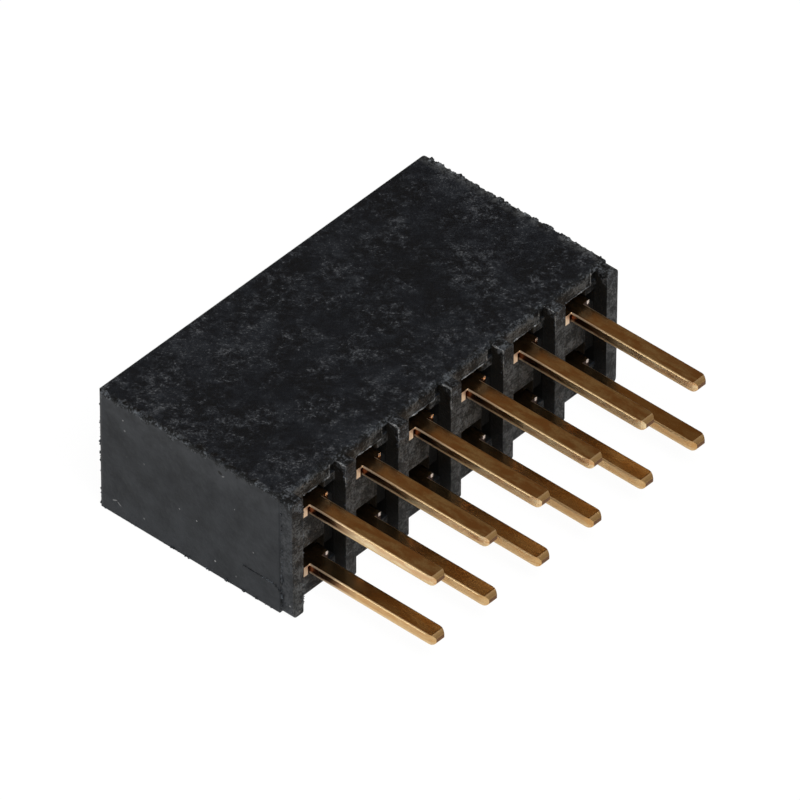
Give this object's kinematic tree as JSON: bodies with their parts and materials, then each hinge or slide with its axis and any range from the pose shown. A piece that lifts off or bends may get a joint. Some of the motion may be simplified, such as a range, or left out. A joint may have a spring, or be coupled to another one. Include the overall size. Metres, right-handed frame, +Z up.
{
  "type": "female pin header strip",
  "caption": "Straight double-row female header strip: black moulded housing with square sockets on one face and flat gold-plated solder tails on the other.",
  "frame": {"origin": "under the middle of the whole strip, tails included, on the plane that its long side lies on", "axes": "+X along the rows, +Y out of the sockets' mating face (the solder tails point along -Y), +Z up, from row B to row A"},
  "size_m": [0.0158, 0.0136, 0.005],
  "materials": {
    "housing": "rough moulded black, glass-filled",
    "contact": "smooth gold plating"
  },
  "bodies": {
    "root": {"housing": "housing", "contact_a1": "contact", "contact_a2": "contact", "contact_a3": "contact", "contact_a4": "contact", "contact_a5": "contact", "contact_a6": "contact", "contact_b1": "contact", "contact_b2": "contact", "contact_b3": "contact", "contact_b4": "contact", "contact_b5": "contact", "contact_b6": "contact"}
  },
  "joints": []
}
